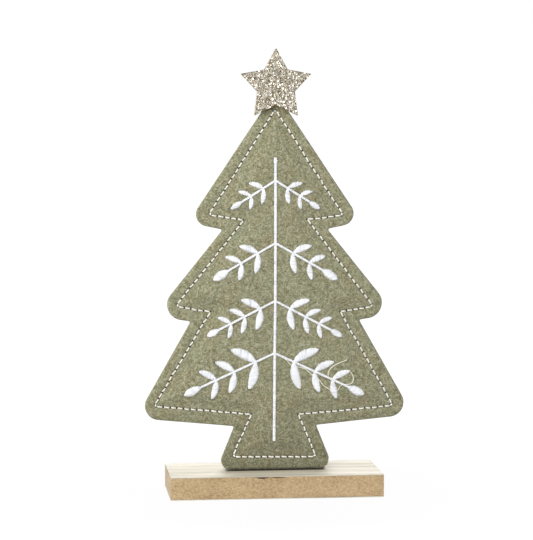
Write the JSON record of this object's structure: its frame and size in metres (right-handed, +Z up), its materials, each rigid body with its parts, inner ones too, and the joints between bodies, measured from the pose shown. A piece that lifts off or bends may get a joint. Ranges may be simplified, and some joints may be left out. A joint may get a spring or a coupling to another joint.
{
  "type": "felt christmas tree",
  "caption": "Free-standing tree of two sewn felt panels with leafy white embroidery, a glitter star at its tip and a faced board as its foot.",
  "frame": {"origin": "on the table, under the middle of the tree and of the base's depth", "axes": "+Z up to the star, the embroidered front looks towards -Y, +X to the right of someone facing it"},
  "size_m": [0.1724, 0.06, 0.2936],
  "materials": {
    "fibreboard": "sawn, bare",
    "wood_facing": "matt, fine lengthwise grain",
    "nail_steel": "bright drawn wire",
    "clear_glue": "set hot-melt",
    "hardboard": "smooth",
    "wadding": "soft, needled",
    "tear_away": "thin non-woven",
    "sage_felt": "mottled pressed wool",
    "cream_thread": "twisted",
    "satin_thread": "glossy satin stitch",
    "champagne_foam": "fine-celled foam",
    "champagne_glitter": "coarse glitter"
  },
  "bodies": {
    "root": {"base_core": "fibreboard", "base_top_veneer": "wood_facing", "base_bottom_veneer": "wood_facing", "support_nail_left": "nail_steel", "support_nail_right": "nail_steel", "foot_glue_film": "clear_glue", "stiffening_panel": "hardboard", "front_wadding": "wadding", "back_wadding": "wadding", "embroidery_backing": "tear_away", "felt_front_panel": "sage_felt", "felt_back_panel": "sage_felt", "seam_needle_thread": "cream_thread", "seam_bobbin_thread": "cream_thread", "embroidered_trunk_line": "satin_thread", "embroidered_sprig_1_left": "satin_thread", "embroidered_sprig_1_right": "satin_thread", "embroidered_sprig_2_left": "satin_thread", "embroidered_sprig_2_right": "satin_thread", "embroidered_sprig_3_left": "satin_thread", "embroidered_sprig_3_right": "satin_thread", "embroidered_sprig_4_left": "satin_thread", "embroidered_sprig_4_right": "satin_thread", "loose_thread_tail": "cream_thread", "star_glue_pad": "clear_glue", "star_blank": "champagne_foam", "star_glitter": "champagne_glitter"}
  },
  "joints": []
}
